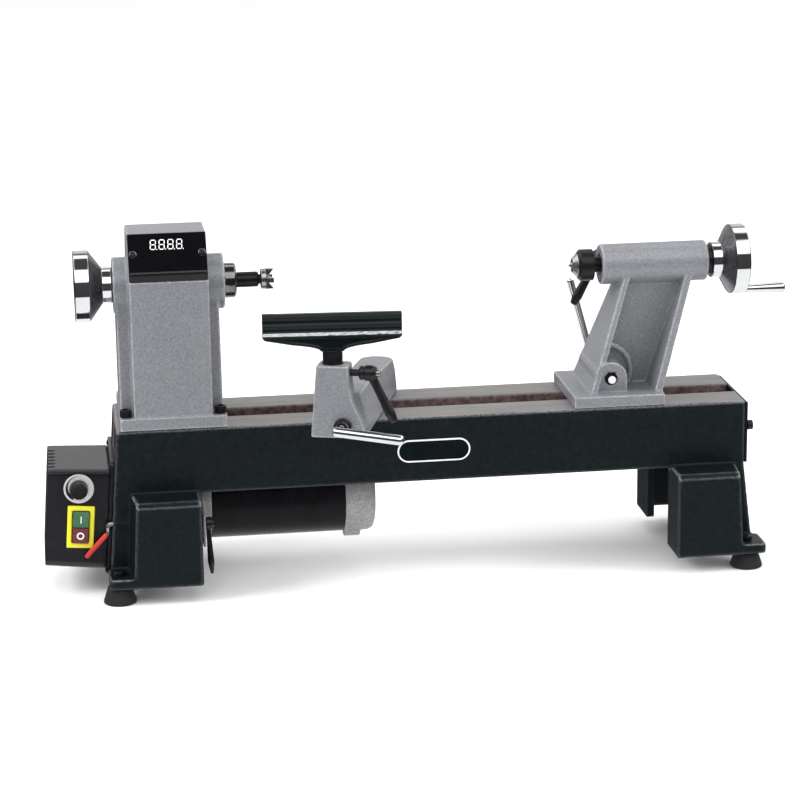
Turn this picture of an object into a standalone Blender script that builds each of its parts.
"""Bench-top wood lathe: cast bed on four feet, variable-speed headstock, banjo with tool rest, tailstock.

X runs along the spindle from the headstock to the tailstock, Y from the operator to the back, Z up from the
bottom of the feet. Lengths are written in millimetres from the middle of the bed and turned into metres as
each mesh is made; the whole lathe hangs on one empty, which carries it to the frame's origin.
"""

import math

import bmesh
import bpy
from mathutils import Matrix, Vector

MM = 0.001
GAP = 0.3  # between pieces that touch

# Where the middle of the bed lies from the frame's origin
BED_MIDDLE = (15.68, 41.48)

# Bed and legs
BED_TOP = 190.0
BED_LOW = 115.0
BED_LEFT = -358.5
BED_RIGHT = 355.7
BED_HALF = 63.5
RAIL = 11.5
WAY = 14.0
SLOT_HALF = 17.0
LEG_LOW = 19.0
LEG_LOW_LEFT = -371.5
LEG_LOW_RIGHT = 367.0
LEG_FRONT = 104.0
LEG_TOP = 117.0
LEG_INNER = 269.0
FLANGE_TOP = 31.0
FLANGE_X = (335.0, 373.5)
FOOT_LEFT = (-362.0, 84.0)
FOOT_RIGHT = (354.5, 84.0)
FOOT_RADIUS = 18.5
FOOT_TOP_RADIUS = 13.0
END_BOLT = (-57.5, 160.0)
PLATE_TOP = BED_TOP - WAY - 1.0

# Spindle line: half the 12 inch (304.8 mm) swing above the bed
CENTRE_HEIGHT = 152.4
AXIS = BED_TOP + CENTRE_HEIGHT
SPINDLE_RADIUS = 12.5
SEAT = BED_TOP + GAP

# Headstock
HEAD_LEFT = -337.7
HEAD_RIGHT = -250.8
BOSS_LEFT = -354.2
BOSS_RIGHT = -230.5
BOSS_RADIUS = 31.0
HEAD_BASE = (-353.6, -234.6)
HEAD_BASE_TOP = 204.0
HEAD_TOP = 405.0
HEAD_WALL = 9.0
SLOPE_LOW = (-55.5, 357.5)
SLOPE_TOP = (-32.5, HEAD_TOP)
BEARING_RADIUS = 26.0
BEARING_WIDTH = 15.0
HEAD_BOLTS = [(-346.8, -52.0), (-241.6, -52.0)]
COVER_X = (-331.0, -257.0)
COVER_Z = (222.0, 338.0)
COVER_FACE = 62.0 + GAP

# Motor under the bed, and the belt between the two pulleys
MOTOR_AXIS = 91.0
MOTOR_RADIUS = 47.0
EAR_FACE = -264.0
MOTOR_LEFT = -253.7
MOTOR_RIGHT = -103.0
SWING_PIVOT = (70.0, 91.0)
LOCK_STUD = (-75.0, 83.0)
PULLEY_STEPS = (-322.0, -306.0, -290.0, -274.0)
SPINDLE_PULLEY = (40.0, 33.0, 26.0)
MOTOR_PULLEY = (18.0, 25.0, 32.0)
BELT_WIDTH = 12.0
BELT_THICKNESS = 2.4
TENSION_SHAFT = (-58.6, 83.0)
TENSION_RADIUS = 3.0

# Handwheels
WHEEL_RADIUS = 40.0
WHEEL_LENGTH = 42.0
TAIL_WHEEL_LENGTH = 39.0
HUB_RADIUS = 20.3

# Banjo: its tool post stands at BANJO_POST and its arm runs back and to the right
BANJO_POST = (-122.0, -114.0)
BANJO_ANGLE = math.radians(17.5)
BANJO_TOP = 271.0
POST_RADIUS = 11.0
CAM_OFFSET = 13.5
CAM_HEIGHT = 204.0
CAM_RADIUS = 7.5
ARM_LENGTH = 213.0
LEVER_HEIGHT = 261.0

# Tool rest
REST_HALF = 75.5
REST_TOP = 326.0
REST_ANGLE = math.radians(-4.6)

# Tailstock
TAIL_BASE = (158.0, 262.5)
TAIL_BASE_TOP = 203.0
BARREL = (198.0, 321.5)
BARREL_RADIUS = 23.0
QUILL_RADIUS = 13.0
TAIL_CAM = (203.0, 219.0)
TAIL_WHEEL = 327.0
CRANK = (-13.0, -33.0)
QUILL_LOCK_X = 206.0

# Control box, drawn upright and then leaned with the left end of the bed
BOX_LEAN = math.atan2(BED_LEFT - LEG_LOW_LEFT, BED_TOP - LEG_LOW)
BOX_HEIGHT = 95.0
BOX_FRONT = -52.0
BOX_BACK = 60.0
BOX_OUT = -73.0
KNOB_SPOT = (-38.5, 26.3)
SWITCH = (-50.0, -42.3, -20.0, 6.7)

COLOURS = {
    "bed_paint": ((0.010, 0.016, 0.017), 0.42, 0.0),
    "silver_paint": ((0.36, 0.37, 0.39), 0.42, 0.35),
    "chrome": ((0.80, 0.81, 0.83), 0.08, 1.0),
    "steel": ((0.55, 0.55, 0.56), 0.28, 1.0),
    "black_steel": ((0.018, 0.018, 0.020), 0.32, 0.6),
    "rest_paint": ((0.008, 0.013, 0.014), 0.22, 0.0),
    "aluminium": ((0.52, 0.52, 0.53), 0.45, 0.7),
    "motor_paint": ((0.012, 0.012, 0.015), 0.38, 0.1),
    "box_plastic": ((0.014, 0.014, 0.016), 0.33, 0.0),
    "black_plastic": ((0.010, 0.010, 0.011), 0.40, 0.0),
    "display_glass": ((0.004, 0.004, 0.005), 0.06, 0.0),
    "rubber": ((0.016, 0.016, 0.016), 0.70, 0.0),
    "yellow_plastic": ((0.75, 0.70, 0.02), 0.35, 0.0),
    "green_plastic": ((0.03, 0.20, 0.08), 0.30, 0.0),
    "red_plastic": ((0.35, 0.03, 0.03), 0.30, 0.0),
    "red_sleeve": ((0.62, 0.03, 0.04), 0.35, 0.0),
}


def clear_scene():
    for obj in list(bpy.data.objects):
        bpy.data.objects.remove(obj, do_unlink=True)


def material(name):
    found = bpy.data.materials.get(name)
    if found:
        return found
    colour, roughness, metallic = COLOURS[name]
    made = bpy.data.materials.new(name)
    made.use_nodes = True
    shader = made.node_tree.nodes["Principled BSDF"]
    shader.inputs["Base Color"].default_value = (*colour, 1.0)
    shader.inputs["Roughness"].default_value = roughness
    shader.inputs["Metallic"].default_value = metallic
    made.diffuse_color = (*colour, 1.0)
    return made


# ---------------------------------------------------------------- shapes


def closed_shape(rings, loop=False):
    """Joins rings of points, of one length or a single point each, and closes the ends with flat caps."""
    shape = bmesh.new()
    made = [[shape.verts.new(point) for point in ring] for ring in rings]
    pairs = list(zip(made, made[1:]))
    if loop:
        pairs.append((made[-1], made[0]))
    else:
        for ring in (made[0], made[-1]):
            if len(ring) > 2:
                shape.faces.new(ring)
    for one, two in pairs:
        count = max(len(one), len(two))
        for i in range(count):
            j = (i + 1) % count
            corners = [one[i % len(one)], one[j % len(one)], two[j % len(two)], two[i % len(two)]]
            face = list(dict.fromkeys(corners))
            if len(face) > 2:
                shape.faces.new(face)
    bmesh.ops.recalc_face_normals(shape, faces=shape.faces)
    return shape


def box(low, high):
    bottom = [(x, y, low[2]) for x, y in corners_of(low, high)]
    top = [(x, y, high[2]) for x, y in corners_of(low, high)]
    return closed_shape([bottom, top])


def corners_of(low, high):
    return [(low[0], low[1]), (high[0], low[1]), (high[0], high[1]), (low[0], high[1])]


def on_axis(axis, along, a, b):
    """The point at a place along an axis, with a and b on the other two axes in X, Y, Z order."""
    return {"X": (along, a, b), "Y": (a, along, b), "Z": (a, b, along)}[axis]


def prism(axis, outline, low, high):
    return closed_shape([[on_axis(axis, at, a, b) for a, b in outline] for at in (low, high)])


def loft(*levels):
    """A solid between flat outlines, each given as its height and its points."""
    return closed_shape([[(x, y, z) for x, y in outline] for z, outline in levels])


def turned(axis, profile, middle=(0.0, 0.0), steps=20, loop=False):
    """A turned solid: profile holds (along, radius) points, and middle is the axis's place across it."""
    rings = []
    if profile[0] == (profile[1][0], 0):
        profile = profile[1:]
    if profile[-1] == (profile[-2][0], 0):
        profile = profile[:-1]
    for along, radius in profile:
        count = steps if radius > 0 else 1
        turn = [2 * math.pi * i / count for i in range(count)]
        spots = [(middle[0] + radius * math.cos(t), middle[1] + radius * math.sin(t)) for t in turn]
        rings.append([on_axis(axis, along, a, b) for a, b in spots])
    return closed_shape(rings, loop)


def rod(axis, low, high, radius, middle=(0.0, 0.0), steps=20):
    return turned(axis, [(low, radius), (high, radius)], middle, steps)


def turned_along(start, way, profile, steps=16):
    """A turned solid whose axis leaves start in any direction."""
    turn = Vector(way).to_track_quat("Z", "Y").to_matrix().to_4x4()
    shape = turned("Z", profile, steps=steps)
    shape.transform(Matrix.Translation(Vector(start)) @ turn)
    return shape


def bar(start, end, radius, steps=14, end_radius=None):
    """A round bar between two points, tapering to end_radius."""
    way = Vector(end) - Vector(start)
    last = radius if end_radius is None else end_radius
    return turned_along(start, way, [(0, radius), (way.length, last)], steps)


def ring(axis, low, high, inner, outer, middle=(0.0, 0.0), steps=20):
    section = [(low, inner), (low, outer), (high, outer), (high, inner)]
    return turned(axis, section, middle, steps, loop=True)


def arc(middle, radius, first, last, count):
    """Points on an arc, with angles in degrees."""
    turns = [math.radians(first + (last - first) * i / count) for i in range(count + 1)]
    return [(middle[0] + radius * math.cos(t), middle[1] + radius * math.sin(t)) for t in turns]


def rounded(low, high, radius, count=4):
    """A rectangle with round corners."""
    points = []
    spots = [(high[0], high[1]), (low[0], high[1]), (low[0], low[1]), (high[0], low[1])]
    middle = ((low[0] + high[0]) / 2, (low[1] + high[1]) / 2)
    for i, (x, y) in enumerate(spots):
        inward = (x - math.copysign(radius, x - middle[0]), y - math.copysign(radius, y - middle[1]))
        points += arc(inward, radius, 90 * i, 90 * i + 90, count)
    return points


# ---------------------------------------------------------------- objects


def empty(name, location=(0, 0, 0), turn=(0, 0, 0), parent=None):
    made = bpy.data.objects.new(name, None)
    made.location = Vector(location) * MM
    made.rotation_euler = turn
    made.parent = parent
    bpy.context.scene.collection.objects.link(made)
    return made


def mesh_object(name, shape, origin, parent):
    """Puts a shape, given in its parent's millimetres, on an object whose origin is at the given point."""
    shape.transform(Matrix.Scale(MM, 4) @ Matrix.Translation(-Vector(origin)))
    mesh = bpy.data.meshes.new(name)
    shape.to_mesh(mesh)
    shape.free()
    made = bpy.data.objects.new(name, mesh)
    made.location = Vector(origin) * MM
    made.parent = parent
    bpy.context.scene.collection.objects.link(made)
    return made


def piece(name, colour, shape, *changes, origin=(0, 0, 0), parent=None):
    """One solid: a first shape, then others joined to it ("+") or cut from it ("-") in turn."""
    parent = parent or LATHE
    made = mesh_object(name, shape, origin, parent)
    made.data.materials.append(material(colour))
    for number, (sign, other) in enumerate(changes):
        tool = mesh_object(f"{name}_tool_{number}", other, origin, parent)
        tool.hide_render = True
        tool.display_type = "WIRE"
        step = made.modifiers.new(f"{'join' if sign == '+' else 'cut'}_{number}", "BOOLEAN")
        step.operation = "UNION" if sign == "+" else "DIFFERENCE"
        step.solver = "EXACT"
        step.object = tool
    made.data.shade_smooth()
    made.data.set_sharp_from_angle(angle=math.radians(35))
    return made


# ---------------------------------------------------------------- bed and feet


def end_at(side, z):
    """Where the bed's outer end face lies at a height: the left end leans all the way, the right one
    only below the rail.
    """
    if side < 0:
        return BED_LEFT + (LEG_LOW_LEFT - BED_LEFT) * (BED_TOP - z) / (BED_TOP - LEG_LOW)
    return BED_RIGHT + (LEG_LOW_RIGHT - BED_RIGHT) * max(0.0, BED_LOW - z) / (BED_LOW - LEG_LOW)


def leg_shapes(side, back):
    """One leg: the wall beside the corner, the hollow box forward of it, and the flange for the foot."""
    inner = side * LEG_INNER
    heights = (LEG_LOW, LEG_TOP)
    corner = [(end_at(side, z) - side * 3, z) for z in heights] + [(inner, z) for z in reversed(heights)]
    wall = prism("Y", corner, back * (BED_HALF - RAIL), back * BED_HALF)
    levels = []
    for z, face in zip((LEG_LOW, LEG_TOP - 5, LEG_TOP), (346.5, 341.0, 341.0)):
        front = back * (LEG_FRONT - (6 if z == LEG_TOP else 0))
        outer, deep = side * face, back * 55
        levels.append((z, [(outer, front), (outer + side * 5, deep), (inner, deep), (inner, front)]))
    flange = rounded((FLANGE_X[0], BED_HALF - 1), (FLANGE_X[1], LEG_FRONT - 0.5), 5)
    flange = prism("Z", [(side * x, back * y) for x, y in flange], LEG_LOW + 0.5, FLANGE_TOP)
    return wall, loft(*levels), flange


def bed_casting():
    changes = []
    for side in (-1, 1):
        thick = side * RAIL
        outer = [(end_at(side, z), z) for z in (BED_TOP, BED_LOW, LEG_LOW)]
        wall = outer + [(x - thick, z) for x, z in reversed(outer)]
        changes.append(("+", prism("Y", wall, -BED_HALF, BED_HALF)))
        for back in (-1, 1):
            changes += [("+", shape) for shape in leg_shapes(side, back)]
    inside = BED_HALF - RAIL
    under = BED_TOP - WAY
    changes.append(("-", box((BED_LEFT + RAIL, -inside, BED_LOW - 20), (BED_RIGHT - RAIL, inside, under))))
    changes.append(("-", box((-355, -inside, 0), (-250, inside, BED_LOW))))
    changes.append(("-", box((250, -inside, 0), (347, inside, BED_LOW))))
    for side in (-1, 1):
        for back in (-1, 1):
            near, far = sorted((side * (LEG_INNER + 10), side * 332.0))
            front, rear = sorted((back * (LEG_FRONT - 9), back * 40))
            changes.append(("-", box((near, front, 0), (far, rear, LEG_TOP - 10))))
            foot = FOOT_LEFT if side < 0 else FOOT_RIGHT
            hole = rod("Z", 0, FLANGE_TOP + 10, 4.2, (foot[0], back * foot[1]), 12)
            changes.append(("-", hole))
    changes.append(("-", box((-262, -SLOT_HALF, BED_TOP - 30), (BED_RIGHT + 10, SLOT_HALF, BED_TOP + 10))))
    changes.append(("-", box((-328, -46, BED_TOP - 30), (-270, 46, BED_TOP + 10))))
    changes.append(("-", box((BED_RIGHT - 30, -40, BED_TOP - 40), (BED_RIGHT + 10, 40, BED_TOP - WAY))))
    for x in (60, 200):
        changes.append(("+", box((x, -inside - 1, BED_LOW), (x + 8, inside + 1, BED_TOP - 42))))
    changes.append(("-", rod("X", BED_RIGHT - 26, BED_RIGHT + 5, 3.3, END_BOLT, 12)))
    changes.append(("-", rod("X", -285, -260, 4.5, LOCK_STUD, 12)))
    changes.append(("-", rod("X", -285, -260, 4.5, SWING_PIVOT, 12)))
    changes.append(("-", rod("X", -380, -340, TENSION_RADIUS + GAP, TENSION_SHAFT, 14)))
    changes += [("-", rod("Z", under - 2, BED_TOP + 5, 4.5, spot, 12)) for spot in HEAD_BOLTS]
    rails = box((BED_LEFT + 5, -BED_HALF, BED_LOW), (BED_RIGHT - 5, BED_HALF, BED_TOP))
    piece("bed_casting", "bed_paint", rails, *changes)


def bed_end():
    low = BED_RIGHT + GAP
    high = low + 3.2
    plate = box((low, -62, BED_LOW + 2), (high, 62, BED_TOP - 2))
    piece("bed_end_plate", "black_steel", plate, ("-", rod("X", low - 5, high + 5, 3.3, END_BOLT, 12)))
    head = [(low - 18, 3), (high + GAP, 3), (high + GAP, 5.6)]
    head += [(high + 6.4, 5.6), (high + 6.4, 2.6), (high + 3.4, 2.6)]
    piece("bed_end_bolt", "black_steel", turned("X", head, END_BOLT, 12))


def feet():
    for side, foot in (("left", FOOT_LEFT), ("right", FOOT_RIGHT)):
        for end, back in (("front", -1), ("rear", 1)):
            spot = (foot[0], back * foot[1])
            top = LEG_LOW - GAP
            cone = [(0, FOOT_RADIUS), (3, FOOT_RADIUS - 0.3), (top, FOOT_TOP_RADIUS), (top, 4.2), (6, 4.2)]
            piece(f"foot_{end}_{side}", "rubber", turned("Z", cone, spot))
            under = FLANGE_TOP + GAP
            bolt = [(8, 3.8), (under, 3.8), (under, 6.5), (under + 4.2, 6.5), (under + 5, 5.7)]
            piece(f"foot_bolt_{end}_{side}", "black_steel", turned("Z", bolt, spot, 12))


# ---------------------------------------------------------------- headstock


def headstock():
    low = SEAT
    base = box((HEAD_BASE[0], -64.5, low), (HEAD_BASE[1], 64.5, HEAD_BASE_TOP))
    body = [(-62, low + 2), (-62, SLOPE_LOW[1]), SLOPE_LOW, SLOPE_TOP]
    body += [(27, HEAD_TOP), (62, 352), (62, low + 2)]
    ceiling = HEAD_TOP - HEAD_WALL
    inner = [(-53, low - 10), (-53, 350), (-26, ceiling), (22, ceiling), (53, 348), (53, low - 10)]
    web = [(-44, HEAD_BASE_TOP - 2), (-26, AXIS - 8), (26, AXIS - 8), (44, HEAD_BASE_TOP - 2)]
    shaft, seat = SPINDLE_RADIUS + 1, BEARING_RADIUS + GAP
    bore = [(BOSS_LEFT - 5, 0), (BOSS_LEFT - 5, shaft), (BOSS_LEFT + 5, shaft), (BOSS_LEFT + 5, seat)]
    bore += [(HEAD_LEFT + 12, seat), (HEAD_LEFT + 12, shaft)]
    bore += [(HEAD_RIGHT - 12, shaft), (HEAD_RIGHT - 12, seat)]
    bore += [(BOSS_RIGHT - 5, seat), (BOSS_RIGHT - 5, shaft), (BOSS_RIGHT + 5, shaft), (BOSS_RIGHT + 5, 0)]
    changes = [
        ("+", prism("X", body, HEAD_LEFT, HEAD_RIGHT)),
        ("+", prism("X", web, HEAD_BASE[0] + 1.5, HEAD_LEFT + 2)),
        ("+", prism("X", web, HEAD_RIGHT - 2, BOSS_RIGHT - 7.5)),
        ("+", rod("X", BOSS_LEFT, HEAD_LEFT + 2, BOSS_RADIUS, (0, AXIS), 32)),
        ("+", rod("X", HEAD_RIGHT - 2, BOSS_RIGHT, BOSS_RADIUS, (0, AXIS), 32)),
        ("-", prism("X", inner, HEAD_LEFT + HEAD_WALL, HEAD_RIGHT - HEAD_WALL)),
        ("-", turned("X", bore, (0, AXIS), 24)),
        ("-", box((COVER_X[0] + 6, 40, COVER_Z[0] + 6), (COVER_X[1] - 6, 80, COVER_Z[1] - 6))),
    ]
    changes += [("-", rod("Z", low - 5, HEAD_BASE_TOP + 8, 4.5, spot, 12)) for spot in HEAD_BOLTS]
    piece("headstock_casting", "silver_paint", base, *changes)
    for side, spot in zip(("left", "right"), HEAD_BOLTS):
        under = HEAD_BASE_TOP + GAP
        cap = [(BED_TOP - WAY, 3.9), (under, 3.9), (under, 6.5)]
        cap += [(under + 8, 6.5), (under + 8, 3.4), (under + 4, 3.4)]
        piece(f"headstock_bolt_{side}", "black_steel", turned("Z", cap, spot, 12))
    for side, start in (("left", BOSS_LEFT + 5 + GAP), ("right", BOSS_RIGHT - 5 - GAP - BEARING_WIDTH)):
        race = ring("X", start, start + BEARING_WIDTH, SPINDLE_RADIUS + GAP, BEARING_RADIUS, (0, AXIS), 24)
        piece(f"spindle_bearing_{side}", "steel", race, origin=(0, 0, AXIS))


def headstock_cover():
    """The door over the pulley at the back, with half a hinge barrel along its lower edge."""
    near = COVER_FACE
    far = near + 4
    hinge = (far - 1, COVER_Z[0] - 2)
    panel = prism("Y", rounded((COVER_X[0], COVER_Z[0]), (COVER_X[1], COVER_Z[1]), 7), near, far)
    knob = [(far - 1, 4), (far + 5, 4), (far + 7, 8.2), (far + 14, 8.2)]
    piece(
        "headstock_cover",
        "silver_paint",
        panel,
        ("+", rod("X", COVER_X[0] + 12, COVER_X[1] - 12, 3.2, (hinge[0] + 0.9, hinge[1]), 12)),
        ("+", box((COVER_X[0] + 12, near, hinge[1]), (COVER_X[1] - 12, far, hinge[1] + 8))),
        ("+", turned("Y", knob, ((COVER_X[0] + COVER_X[1]) / 2, COVER_Z[1] - 16), 14)),
        origin=(0, hinge[0] + 0.9, hinge[1]),
    )


def display():
    """The black wedge on the sloping front of the headstock, and the glossy window in it."""
    left, right = HEAD_LEFT + 0.4, HEAD_RIGHT - 0.4
    slope = Vector((23.0, 41.0)).normalized()
    out = Vector((-slope.y, slope.x))
    low = Vector((-63.6, 365.5))
    top = low + slope * 47.5
    rise = (Vector(SLOPE_TOP) - Vector(SLOPE_LOW)).normalized()
    away = Vector((-rise.y, rise.x)) * 0.4
    seat_low = Vector(SLOPE_LOW) + away + rise * 0.2
    seat_top = Vector(SLOPE_TOP) + away
    outline = [(-62.4, seat_low.y), tuple(low), tuple(top), (seat_top.x - 0.8, seat_top.y + 0.9)]
    outline += [tuple(seat_top), tuple(seat_low)]
    floor = [tuple(low + slope * 2.2 + out), tuple(top - slope * 2.2 + out)]
    pocket = floor + [tuple(top - slope * 2.2 - out * 2.2), tuple(low + slope * 2.2 - out * 2.2)]
    piece(
        "display_housing",
        "black_plastic",
        prism("X", outline, left, right),
        ("-", prism("X", pocket, left + 2.2, right - 2.2)),
    )
    pane = [low + slope * 2.5 - out * 1.9, top - slope * 2.5 - out * 1.9]
    pane = [tuple(p) for p in (pane[0], pane[1], pane[1] + out * 2.3, pane[0] + out * 2.3)]
    piece("display_window", "display_glass", prism("X", pane, left + 2.5, right - 2.5))


def wheel_profile(start, way, bore, length):
    """A handwheel's section: a hub, a cone that opens to the rim, and a dished outer face."""
    section = [(0, HUB_RADIUS), (11, HUB_RADIUS), (length - 18, 38.0), (length - 16.5, WHEEL_RADIUS)]
    section += [(length - 1, WHEEL_RADIUS), (length, WHEEL_RADIUS - 1), (length, 27)]
    section += [(length - 7, 21), (length - 7, bore), (0, bore)]
    return [(start + way * along, radius) for along, radius in section]


def spindle_group():
    here = (0, 0, AXIS)
    left = BOSS_LEFT - 0.6
    nose = -217.2
    end = left - WHEEL_LENGTH + 1
    tube = [(end, 5.2), (end, SPINDLE_RADIUS), (nose, SPINDLE_RADIUS)]
    socket = [(nose, 9.0), (nose - 62, 7.4), (nose - 62, 5.2)]
    piece("spindle", "steel", turned("X", tube + socket, (0, AXIS), 24, loop=True), origin=here)
    bore = SPINDLE_RADIUS + GAP
    wheel = turned("X", wheel_profile(left, -1, bore, WHEEL_LENGTH), (0, AXIS), 32, loop=True)
    piece("outboard_handwheel", "chrome", wheel, origin=here)
    steps = [(PULLEY_STEPS[0], bore)]
    for start, end, radius in zip(PULLEY_STEPS, PULLEY_STEPS[1:], SPINDLE_PULLEY):
        steps += [(start, radius), (end, radius)]
    steps.append((PULLEY_STEPS[-1], bore))
    piece("spindle_pulley", "aluminium", turned("X", steps, (0, AXIS), 28, loop=True), origin=here)
    collar = [(-230.0, bore), (-230.0, 19.5), (-219.0, 19.5), (-217.0, 17.5), (-217.0, bore)]
    piece(
        "spindle_collar",
        "black_steel",
        turned("X", collar, (0, AXIS), 28, loop=True),
        ("-", rod("Y", -25, -15.5, 3.0, (-223.5, AXIS), 12)),
        origin=here,
    )
    shank = [(nose - 55, 0), (nose - 55, 7.2), (nose + 0.6, 8.6), (-192.5, 8.6), (-191.5, 8.0)]
    shank += [(-191.5, 5.2), (-188.5, 5.2)]
    head = [(-188.5, 11.4), (-176.0, 11.4)]
    cuts = [box((-183.0, -4, -20), (-170, 4, 20)), box((-183.0, -20, -4), (-170, 20, 4))]
    for cut in cuts:
        cut.transform(Matrix.Translation((0, 0, AXIS)) @ Matrix.Rotation(math.radians(45), 4, "X"))
    piece(
        "drive_centre",
        "steel",
        turned("X", shank + head, (0, AXIS)),
        *[("-", cut) for cut in cuts],
        ("+", turned("X", [(-185, 2.6), (-179, 2.6), (-173.9, 0)], (0, AXIS), 12)),
        origin=here,
    )


# ---------------------------------------------------------------- drive


def motor():
    """The motor hangs from a pivot at the back, and the lock lever clamps its end bell at the front."""
    here = (0, SWING_PIVOT[0], SWING_PIVOT[1])
    centre = (0, MOTOR_AXIS)
    tube = ring("X", MOTOR_LEFT, MOTOR_RIGHT, MOTOR_RADIUS - 3, MOTOR_RADIUS, centre, 32)
    piece("motor_housing", "motor_paint", tube, origin=here)
    bell_end = MOTOR_LEFT - GAP
    ear = [(-84, 58), (-84, 94), (-48, 99), (-34, 114), (28, 117)]
    ear += arc(SWING_PIVOT, 11, 70, -90, 6) + [(20, 60), (-40, 56)]
    slot = rounded((LOCK_STUD[0] - 4.6, LOCK_STUD[1] - 4.8), (LOCK_STUD[0] + 5.4, LOCK_STUD[1] + 4.8), 4.4)
    slot = [(y, z - 15 if z < LOCK_STUD[1] else z) for y, z in slot]
    piece(
        "motor_end_bell",
        "aluminium",
        rod("X", -267.5, bell_end, MOTOR_RADIUS - 0.5, centre, 32),
        ("+", prism("X", ear, -267.5, EAR_FACE)),
        ("-", rod("X", -290, -250, 8.0, centre, 16)),
        ("-", prism("X", slot, -290, -250)),
        ("-", rod("X", -290, -250, 4.5, SWING_PIVOT, 12)),
        origin=here,
    )
    start = MOTOR_RIGHT + GAP
    rim = MOTOR_RADIUS + 0.4
    cap = [(start, rim), (start + 27, rim), (start + 33, rim - 2.9), (start + 35, rim - 8.4)]
    piece(
        "motor_end_cap",
        "aluminium",
        turned("X", cap, centre, 32),
        ("+", rod("X", start + 0.5, start + 19, 13, (-8, MOTOR_AXIS - 40), 16)),
        ("-", rod("X", start - 5, start + 22, 8.0, centre, 16)),
        origin=here,
    )
    pin = [(-279.0, 4.0), (EAR_FACE + GAP, 4.0), (EAR_FACE + GAP, 8.0)]
    pin += [(EAR_FACE + 5.5, 8.0), (EAR_FACE + 6, 7.4)]
    piece("motor_pivot_bolt", "black_steel", turned("X", pin, SWING_PIVOT, 12), origin=here)
    start = PULLEY_STEPS[0] - 4
    core = [(start, 0), (start, 7.5), (-240, 7.5), (-240, 33)]
    core += [(-118, 33), (-118, 7.5), (-84, 7.5), (-84, 0)]
    piece("motor_armature", "steel", turned("X", core, centre, 20), origin=(0, *centre))
    steps = [(PULLEY_STEPS[0], 7.5 + GAP)]
    for first, last, radius in zip(PULLEY_STEPS, PULLEY_STEPS[1:], MOTOR_PULLEY):
        steps += [(first, radius), (last, radius)]
    steps.append((PULLEY_STEPS[-1], 7.5 + GAP))
    piece("motor_pulley", "aluminium", turned("X", steps, centre, 24, loop=True), origin=(0, *centre))


def drive_belt():
    """A flat belt round the middle steps of both pulleys."""
    upper, lower = SPINDLE_PULLEY[1] + GAP, MOTOR_PULLEY[1] + GAP
    middle = (PULLEY_STEPS[1] + PULLEY_STEPS[2]) / 2
    lean = math.degrees(math.asin((upper - lower) / (AXIS - MOTOR_AXIS)))

    def loop_at(grow):
        top = arc((0, AXIS), upper + grow, -lean, 180 + lean, 16)
        return top + arc((0, MOTOR_AXIS), lower + grow, 180 + lean, 360 - lean, 12)

    rings = [
        [(x, y, z) for y, z in loop_at(grow)]
        for x, grow in (
            (middle - BELT_WIDTH / 2, 0),
            (middle + BELT_WIDTH / 2, 0),
            (middle + BELT_WIDTH / 2, BELT_THICKNESS),
            (middle - BELT_WIDTH / 2, BELT_THICKNESS),
        )
    ]
    piece("drive_belt", "rubber", closed_shape(rings, loop=True))


def ratchet_lever(start, way, fall, hub_length=21.0, arm_length=50.0, stud=10.0):
    """A clamping lever: its stud and hub along way in one turned shape, and an arm towards fall."""
    start, way, fall = Vector(start), Vector(way).normalized(), Vector(fall).normalized()
    end = 8 + hub_length
    hub = [(-stud, 4.0), (8.5, 4.0), (8.5, 6.4), (11, 7.6)]
    hub += [(end - 5, 8.6), (end, 6.2), (end, 4.2), (end + 5, 3.6)]
    root = start + way * (hub_length + 1)
    return turned_along(start, way, hub), ("+", bar(root, root + fall * arm_length, 4.3, 14, 5.6))


def belt_levers():
    """The bent lever that tightens the belt, its red sleeve, and the lever that locks the motor."""
    y, z = TENSION_SHAFT
    outside = end_at(-1, z) - 5.0
    bend = (outside, y, z - 10.0)
    tip = (outside - 23.5, y, z - 35.0)
    piece(
        "tension_lever",
        "chrome",
        bar((-345.0, y, z), (outside + 2.0, y, z), TENSION_RADIUS, 14),
        ("+", bar((outside, y, z + 2.6), bend, 2.8, 14)),
        ("+", bar(bend, tip, 1.8, 12)),
        origin=(0, y, z),
    )
    toward = (Vector(tip) - Vector(bend)).normalized()
    low = Vector(bend) + toward * 3.2
    sleeve = bar(low, Vector(tip) + toward * 3, 3.0, 14)
    hollow = bar(low - toward, Vector(tip) + toward * 0.6, 2.1, 12)
    piece("tension_lever_sleeve", "red_sleeve", sleeve, ("-", hollow), origin=(0, y, z))
    y, z = LOCK_STUD
    face = EAR_FACE + GAP
    stud = [(-279.0, 4.0), (face, 4.0), (face, 7.2), (face + 8, 7.2), (face + 8, 4.4), (face + 11, 4.4)]
    piece(
        "motor_lock_lever",
        "black_plastic",
        turned("X", stud, LOCK_STUD, 14),
        ("+", bar((face + 4.2, y, z - 2), (face + 4.0, y - 4, z - 56), 3.6, 14, 3.8)),
        origin=(0, y, z),
    )


# ---------------------------------------------------------------- control box


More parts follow.
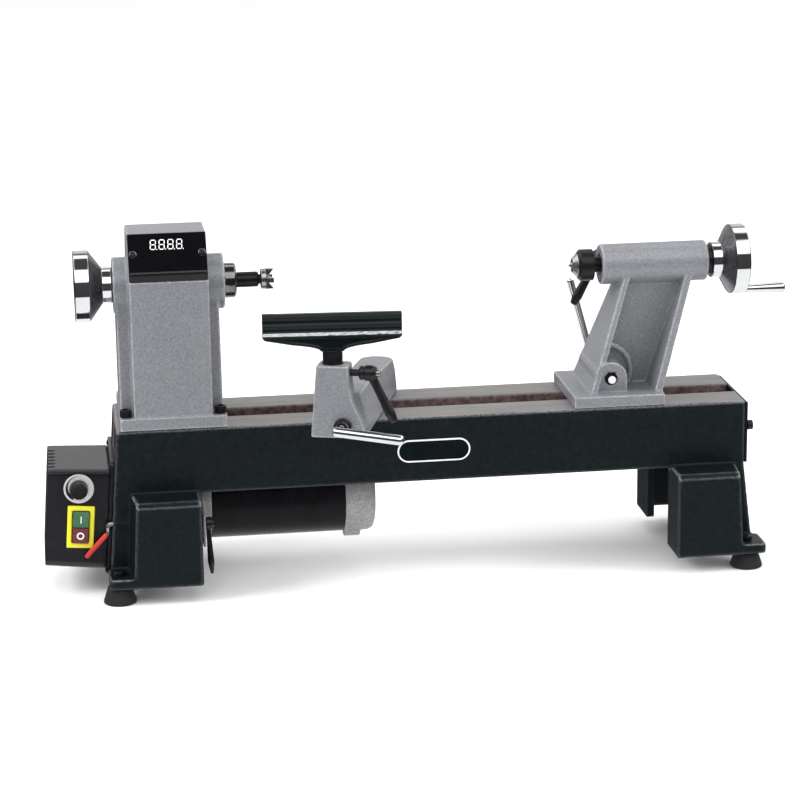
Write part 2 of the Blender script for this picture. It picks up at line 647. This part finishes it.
def control_box():
    """The box on the left end, drawn with its back plate on the plane x = 0 of the leaning frame."""
    frame = empty("control_box_frame", (end_at(-1, BOX_HEIGHT), 0, BOX_HEIGHT), (0, BOX_LEAN, 0), LATHE)
    plate = prism("X", rounded((BOX_FRONT - 1.2, -74), (61.5, 57), 5), -4.3, -GAP)
    piece("control_box_plate", "box_plastic", plate, parent=frame)

    def shell(x_back, x_out, inset):
        corner = 6 - inset / 2
        back = rounded((BOX_FRONT + inset, -68.5 + inset), (BOX_BACK - inset, 47.5 - inset), corner, 3)
        out = rounded((BOX_FRONT + inset, -66 + inset), (BOX_BACK - inset - 3, 46 - inset), corner, 3)
        return closed_shape([[(x_back, y, z) for y, z in back], [(x_out, y, z) for y, z in out]])

    cuts = [("-", shell(0, BOX_OUT + 3, 3))]
    cuts += [("-", rod("Y", BOX_FRONT - 5, BOX_FRONT + 8, 4.2, KNOB_SPOT, 12))]
    opening = (SWITCH[0] + 4, BOX_FRONT - 5, SWITCH[1] + 4), (SWITCH[2] - 4, BOX_FRONT + 8, SWITCH[3] - 4)
    cuts += [("-", box(*opening))]
    cuts += [("-", box((BOX_OUT - 3, y, 26), (BOX_OUT + 7.5, y + 4, 60))) for y in range(-38, 40, 13)]
    piece("control_box_cover", "box_plastic", shell(-4.3 - GAP, BOX_OUT, 0), *cuts, parent=frame)

    face = BOX_FRONT - GAP
    frame_plate = box((SWITCH[0], face - 2.6, SWITCH[1]), (SWITCH[2], face, SWITCH[3]))
    window = box((SWITCH[0] + 5.4, face - 5, SWITCH[1] + 5.4), (SWITCH[2] - 5.4, face + 5, SWITCH[3] - 5.4))
    piece("switch_plate", "yellow_plastic", frame_plate, ("-", window), parent=frame)
    middle = (SWITCH[1] + SWITCH[3]) / 2
    for name, colour, low, high in (
        ("start_button", "green_plastic", middle + 0.4, SWITCH[3] - 5.9),
        ("stop_button", "red_plastic", SWITCH[1] + 5.9, middle - 0.4),
    ):
        cap = box((SWITCH[0] + 5.9, face - 5.0, low), (SWITCH[2] - 5.9, face + 6, high))
        piece(name, colour, cap, parent=frame)
    knob = [(face + 12, 3.4), (face - 1.2, 3.4), (face - 1.2, 10.6), (face - 14, 9.2), (face - 15, 8.4)]
    centre = (KNOB_SPOT[0], 0, KNOB_SPOT[1])
    piece("speed_knob", "black_plastic", turned("Y", knob, KNOB_SPOT, 18), origin=centre, parent=frame)


# ---------------------------------------------------------------- banjo and tool rest


def banjo():
    frame = empty("banjo_frame", (*BANJO_POST, 0), (0, 0, -BANJO_ANGLE), LATHE)
    low = SEAT
    front = [(-22.5, low), (-15.5, BANJO_TOP), (19.5, BANJO_TOP), (20.5, 249)]
    front += [(24.5, 230), (34, 209), (37.5, 200), (37.5, low)]
    arm_half, arm_top = 24.5, 17.0
    end = ARM_LENGTH

    def arm_outline(half, length):
        near_edge = [(CAM_OFFSET - half, 0), (CAM_OFFSET + half, 0)]
        return near_edge + arc((CAM_OFFSET, length - half), half, 0, 180, 10)

    foot, waist = arm_outline(arm_half, end), arm_outline(arm_half - 2.5, end)
    arm = loft((low, foot), (low + 24, waist), (238, arm_outline(arm_top, end - 5)))
    over = prism("X", [(10, 240), (end + 20, 224.5), (end + 20, 300), (10, 300)], -60, 80)
    hollow = rounded((CAM_OFFSET - 12.8, 27), (CAM_OFFSET + 12.8, end - 9), 6)
    channel = prism("Z", hollow, low - 5, CAM_HEIGHT + 13.4)
    piece(
        "banjo_casting",
        "silver_paint",
        prism("Y", front, -18.0, 17.0),
        ("+", arm),
        ("-", over),
        ("-", channel),
        ("-", rod("Y", -30, end + 20, CAM_RADIUS + GAP, (CAM_OFFSET, CAM_HEIGHT))),
        ("-", rod("Z", 216, BANJO_TOP + 5, POST_RADIUS + GAP, (0, 0), 24)),
        ("-", rod("X", 5, 40, 4.5, (-2.0, LEVER_HEIGHT), 12)),
        origin=(0, 0, 0),
        parent=frame,
    )
    face = -18 - GAP
    profile = [(face - 6.5, 8.6), (face - 5, 9.6), (face, 9.6), (face, CAM_RADIUS), (end - 2, CAM_RADIUS)]
    here = (CAM_OFFSET, 0, CAM_HEIGHT)
    piece(
        "banjo_clamp_shaft",
        "black_steel",
        turned("Y", profile, (CAM_OFFSET, CAM_HEIGHT)),
        ("-", rod("Y", -40, -21, 4.6 + GAP, (CAM_OFFSET, CAM_HEIGHT), 14)),
        origin=here,
        parent=frame,
    )
    near = (CAM_OFFSET - 4.5, -41.0, CAM_HEIGHT + 0.4)
    far = (CAM_OFFSET + 69, -45.0, CAM_HEIGHT - 5.5)
    piece(
        "banjo_clamp_bar",
        "chrome",
        bar((CAM_OFFSET, -21.4, CAM_HEIGHT), (CAM_OFFSET, -42.0, CAM_HEIGHT), 4.6),
        ("+", bar(near, far, 5.6, 20)),
        origin=here,
        parent=frame,
    )
    lever, arm = ratchet_lever((21.5, -2.0, LEVER_HEIGHT), (1, 0, 0), (0.5, -0.05, -1.0), 19, 55, 8)
    piece("tool_rest_lever", "black_plastic", lever, arm, origin=(21.5, -2.0, LEVER_HEIGHT), parent=frame)


def banjo_clamp():
    """The bolt whose eye hangs on the cam shaft, and the plate that it draws up under the bed."""
    along = (-BANJO_POST[1] + CAM_OFFSET * math.sin(BANJO_ANGLE)) / math.cos(BANJO_ANGLE)
    x = BANJO_POST[0] + CAM_OFFSET * math.cos(BANJO_ANGLE) + along * math.sin(BANJO_ANGLE)
    frame = empty("banjo_bolt_frame", (x, 0, 0), (0, 0, -BANJO_ANGLE), LATHE)
    eye, shapes = eye_bolt((0, 0), CAM_HEIGHT, CAM_RADIUS)
    piece("banjo_clamp_bolt", "steel", eye, *shapes, origin=(0, 0, CAM_HEIGHT), parent=frame)
    plate, key = clamp_plate(x)
    hole = rod("Z", BED_LOW, BED_TOP + 5, 5.3, (x, 0), 20)
    piece("banjo_clamp_plate", "black_steel", plate, key, ("-", hole))


def eye_bolt(spot, height, radius):
    nut_top = PLATE_TOP - 14.0 - GAP
    nut = prism("Z", arc(spot, 9.2, 0, 300, 5), nut_top - 8, nut_top)
    profile = [(-7, radius + 1.2), (-7, radius + 4.9), (7, radius + 4.9), (7, radius + 1.2)]
    eye = turned("Y", profile, (spot[0], height), 20, loop=True)
    stem = rod("Z", nut_top - 12, height - radius - 2.2, 4.8, spot, 16)
    return eye, [("+", stem), ("+", nut)]


def clamp_plate(x):
    key = box((x - 20, -SLOT_HALF + 0.6, PLATE_TOP - 2), (x + 20, SLOT_HALF - 0.6, BED_TOP - 10))
    return box((x - 26, -29, PLATE_TOP - 14), (x + 26, 29, PLATE_TOP)), ("+", key)


def tool_rest():
    frame = empty("tool_rest_frame", (*BANJO_POST, 0), (0, 0, REST_ANGLE), LATHE)
    neck_low = 284.0
    post = rod("Z", BANJO_TOP - 50, neck_low - GAP, POST_RADIUS, (0, 0), 24)
    piece("tool_rest_post", "black_steel", post, parent=frame)
    top = REST_TOP
    section = [(0.5, top), (6.5, top), (8.0, top - 2.5), (6.0, top - 14), (7.0, top - 26)]
    section += [(-4.0, top - 26), (-8.0, top - 24), (-8.6, top - 21.6), (-5.0, top - 20.0)]
    section += [(-2.6, top - 16.5), (-4.4, top - 12.6), (-2.4, top - 10.2), (-2.0, top - 7.4)]
    section += [(-3.8, top - 3.4), (-2.4, top - 1.0)]
    reach = REST_HALF - 1
    web = [(-reach, top - 24), (reach, top - 24), (reach, top - 27.5), (20, top - 36.5)]
    web += [(11, neck_low + 1), (-11, neck_low + 1), (-20, top - 36.5), (-reach, top - 27.5)]
    piece(
        "tool_rest",
        "rest_paint",
        prism("X", section, -REST_HALF, REST_HALF),
        ("+", prism("Y", web, -5.5, 6.5)),
        ("+", turned("Z", [(neck_low, 10.4), (neck_low + 2, 10.4), (neck_low + 11, 5.5)])),
        parent=frame,
    )


# ---------------------------------------------------------------- tailstock


def flange_plate(low_x, high_x, thick):
    """A leaning plate across the tailstock, broad at the base and narrow under the barrel."""
    low, high = TAIL_BASE_TOP - 3, AXIS - 12

    def outline(x, half):
        return [(x, -half), (x + thick, -half), (x + thick, half), (x, half)]

    return loft((low, outline(low_x, 53)), (high, outline(high_x, 21)))


def tailstock():
    base_low = SEAT
    lean = [(184, TAIL_BASE_TOP - 3), (256, TAIL_BASE_TOP - 3), (298, AXIS - 12), (229, AXIS - 12)]
    cam_x, cam_z = TAIL_CAM
    key = SLOT_HALF - 0.5
    fit = QUILL_RADIUS + GAP
    back = BARREL[1] - 7
    bore = [(BARREL[0] - 2, 16.6), (BARREL[0] + 1.6, fit), (back, fit), (back, 7.6), (back + 12, 7.6)]
    barrel = [(BARREL[0], 22), (BARREL[0] + 1, 23), (BARREL[1] - 1.4, 23), (BARREL[1], 21.6)]
    piece(
        "tailstock_casting",
        "silver_paint",
        box((TAIL_BASE[0], -62.5, base_low), (TAIL_BASE[1], 62.5, TAIL_BASE_TOP)),
        ("+", box((TAIL_BASE[0] + 8, -key, BED_TOP - 9), (cam_x - 24, key, base_low + 1))),
        ("+", box((cam_x + 24, -key, BED_TOP - 9), (TAIL_BASE[1] - 8, key, base_low + 1))),
        ("+", flange_plate(177.5, 222.5, 7.5)),
        ("+", flange_plate(251.5, 293.5, 9.0)),
        ("+", prism("Y", lean, -5.5, 5.5)),
        ("+", turned("X", barrel, (0, AXIS), 32)),
        ("+", rod("Y", -46, 46, 19, TAIL_CAM, 24)),
        ("+", box((cam_x - 18.9, -45.9, base_low + 2), (cam_x + 18.9, 45.9, cam_z))),
        ("-", turned("X", bore, (0, AXIS), 24)),
        ("-", rod("Y", -50, 50, 7.3, TAIL_CAM)),
        ("-", box((cam_x - 13, -8, base_low - 5), (cam_x + 13, 8, cam_z + 14))),
        ("-", rod("Y", 10, 30, 4.5, (QUILL_LOCK_X, AXIS), 12)),
    )
    tailstock_clamp()
    quill_group()


def tailstock_clamp():
    cam_x, cam_z = TAIL_CAM
    here = (cam_x, 0, cam_z)
    profile = [(-51.5, 4.4), (-46.9, 4.4), (-46.9, 7.0), (46.4, 7.0), (46.4, 9.6), (59, 9.6)]
    bar_way = Vector((-25.6, 0, 93.6)).normalized()
    start = Vector((cam_x + 1.6, 66.0, cam_z - 6.0))
    shaft = turned("Y", profile, TAIL_CAM)
    socket = rod("Y", 52, 70, 4.0, TAIL_CAM, 12)
    piece("tailstock_clamp_shaft", "black_steel", shaft, ("-", socket), origin=here)
    piece(
        "tailstock_clamp_bar",
        "chrome",
        bar((cam_x, 52.4, cam_z), (cam_x, 68.0, cam_z), 3.6, 12),
        ("+", bar(start, start + bar_way * 101, 4.3, 16)),
        origin=here,
    )
    eye, shapes = eye_bolt((cam_x, 0), cam_z, 7.0)
    plate, key = clamp_plate(cam_x)
    piece("tailstock_clamp_bolt", "steel", eye, *shapes, ("+", plate), key, origin=here)


def quill_group():
    here = (0, 0, AXIS)
    left = BARREL[0] + 0.6
    right = BARREL[1] - 8.0
    tube = [(left, 9.1), (left, QUILL_RADIUS), (right, QUILL_RADIUS), (right, 6.4)]
    tube += [(left + 96, 6.4), (left + 93, 7.7), (left + 54, 7.7)]
    slot = box((left + 20, 9, AXIS - 2.6), (right - 8, 20, AXIS + 2.6))
    piece("quill", "steel", turned("X", tube, (0, AXIS), 24, loop=True), ("-", slot), origin=here)
    end = TAIL_WHEEL + TAIL_WHEEL_LENGTH - 9
    screw = [(left + 54, 6.0), (BARREL[1] - 7.4, 6.0), (BARREL[1] - 7.4, 7.2), (end, 7.2)]
    piece("quill_screw", "steel", turned("X", screw, (0, AXIS)), origin=here)
    collar = ring("X", BARREL[1] + GAP, TAIL_WHEEL - GAP, 7.2 + GAP, 17.3, (0, AXIS), 24)
    piece("quill_thrust_ring", "black_steel", collar, origin=here)
    section = wheel_profile(TAIL_WHEEL, 1, 7.2 + GAP, TAIL_WHEEL_LENGTH)
    wheel = turned("X", section, (0, AXIS), 32, loop=True)
    crank = (CRANK[0], AXIS + CRANK[1])
    face = TAIL_WHEEL + TAIL_WHEEL_LENGTH
    hole = rod("X", face - 10, face + 5, 3.5, crank, 12)
    piece("tailstock_handwheel", "chrome", wheel, ("-", hole), origin=here)
    grip = [(face - 8, 3.0), (face + GAP, 3.0), (face + GAP, 4.4), (face + 44, 6.4), (face + 46, 5.0)]
    piece("crank_handle", "chrome", turned("X", grip, crank, 16), origin=(0, *crank))
    body = [(184.0, 5.4), (172.2, 5.4), (172.2, 15.0), (175.0, 18.0), (189.8, 18.0), (189.8, 9.0)]
    body += [(left + 1, 8.7), (left + 52, 7.2)]
    piece("live_centre_housing", "black_steel", turned("X", body, (0, AXIS), 24), origin=here)
    nose = [(162.0, 0), (166.2, 3.6), (166.2, 8.2), (171.9, 14.4), (171.9, 5.0), (183.4, 5.0)]
    piece("live_centre_point", "steel", turned("X", nose, (0, AXIS), 24), origin=here)
    spot = (QUILL_LOCK_X, BARREL_RADIUS + 1.0, AXIS)
    lever, arm = ratchet_lever(spot, (0, 1, 0), (-0.46, 0.06, -0.88), 15, 58, 8.0)
    piece("quill_lock_lever", "black_plastic", lever, arm, origin=spot)


clear_scene()
LATHE = empty("lathe", (*BED_MIDDLE, 0))
bed_casting()
bed_end()
feet()
headstock()
headstock_cover()
display()
spindle_group()
motor()
drive_belt()
belt_levers()
control_box()
banjo()
banjo_clamp()
tool_rest()
tailstock()
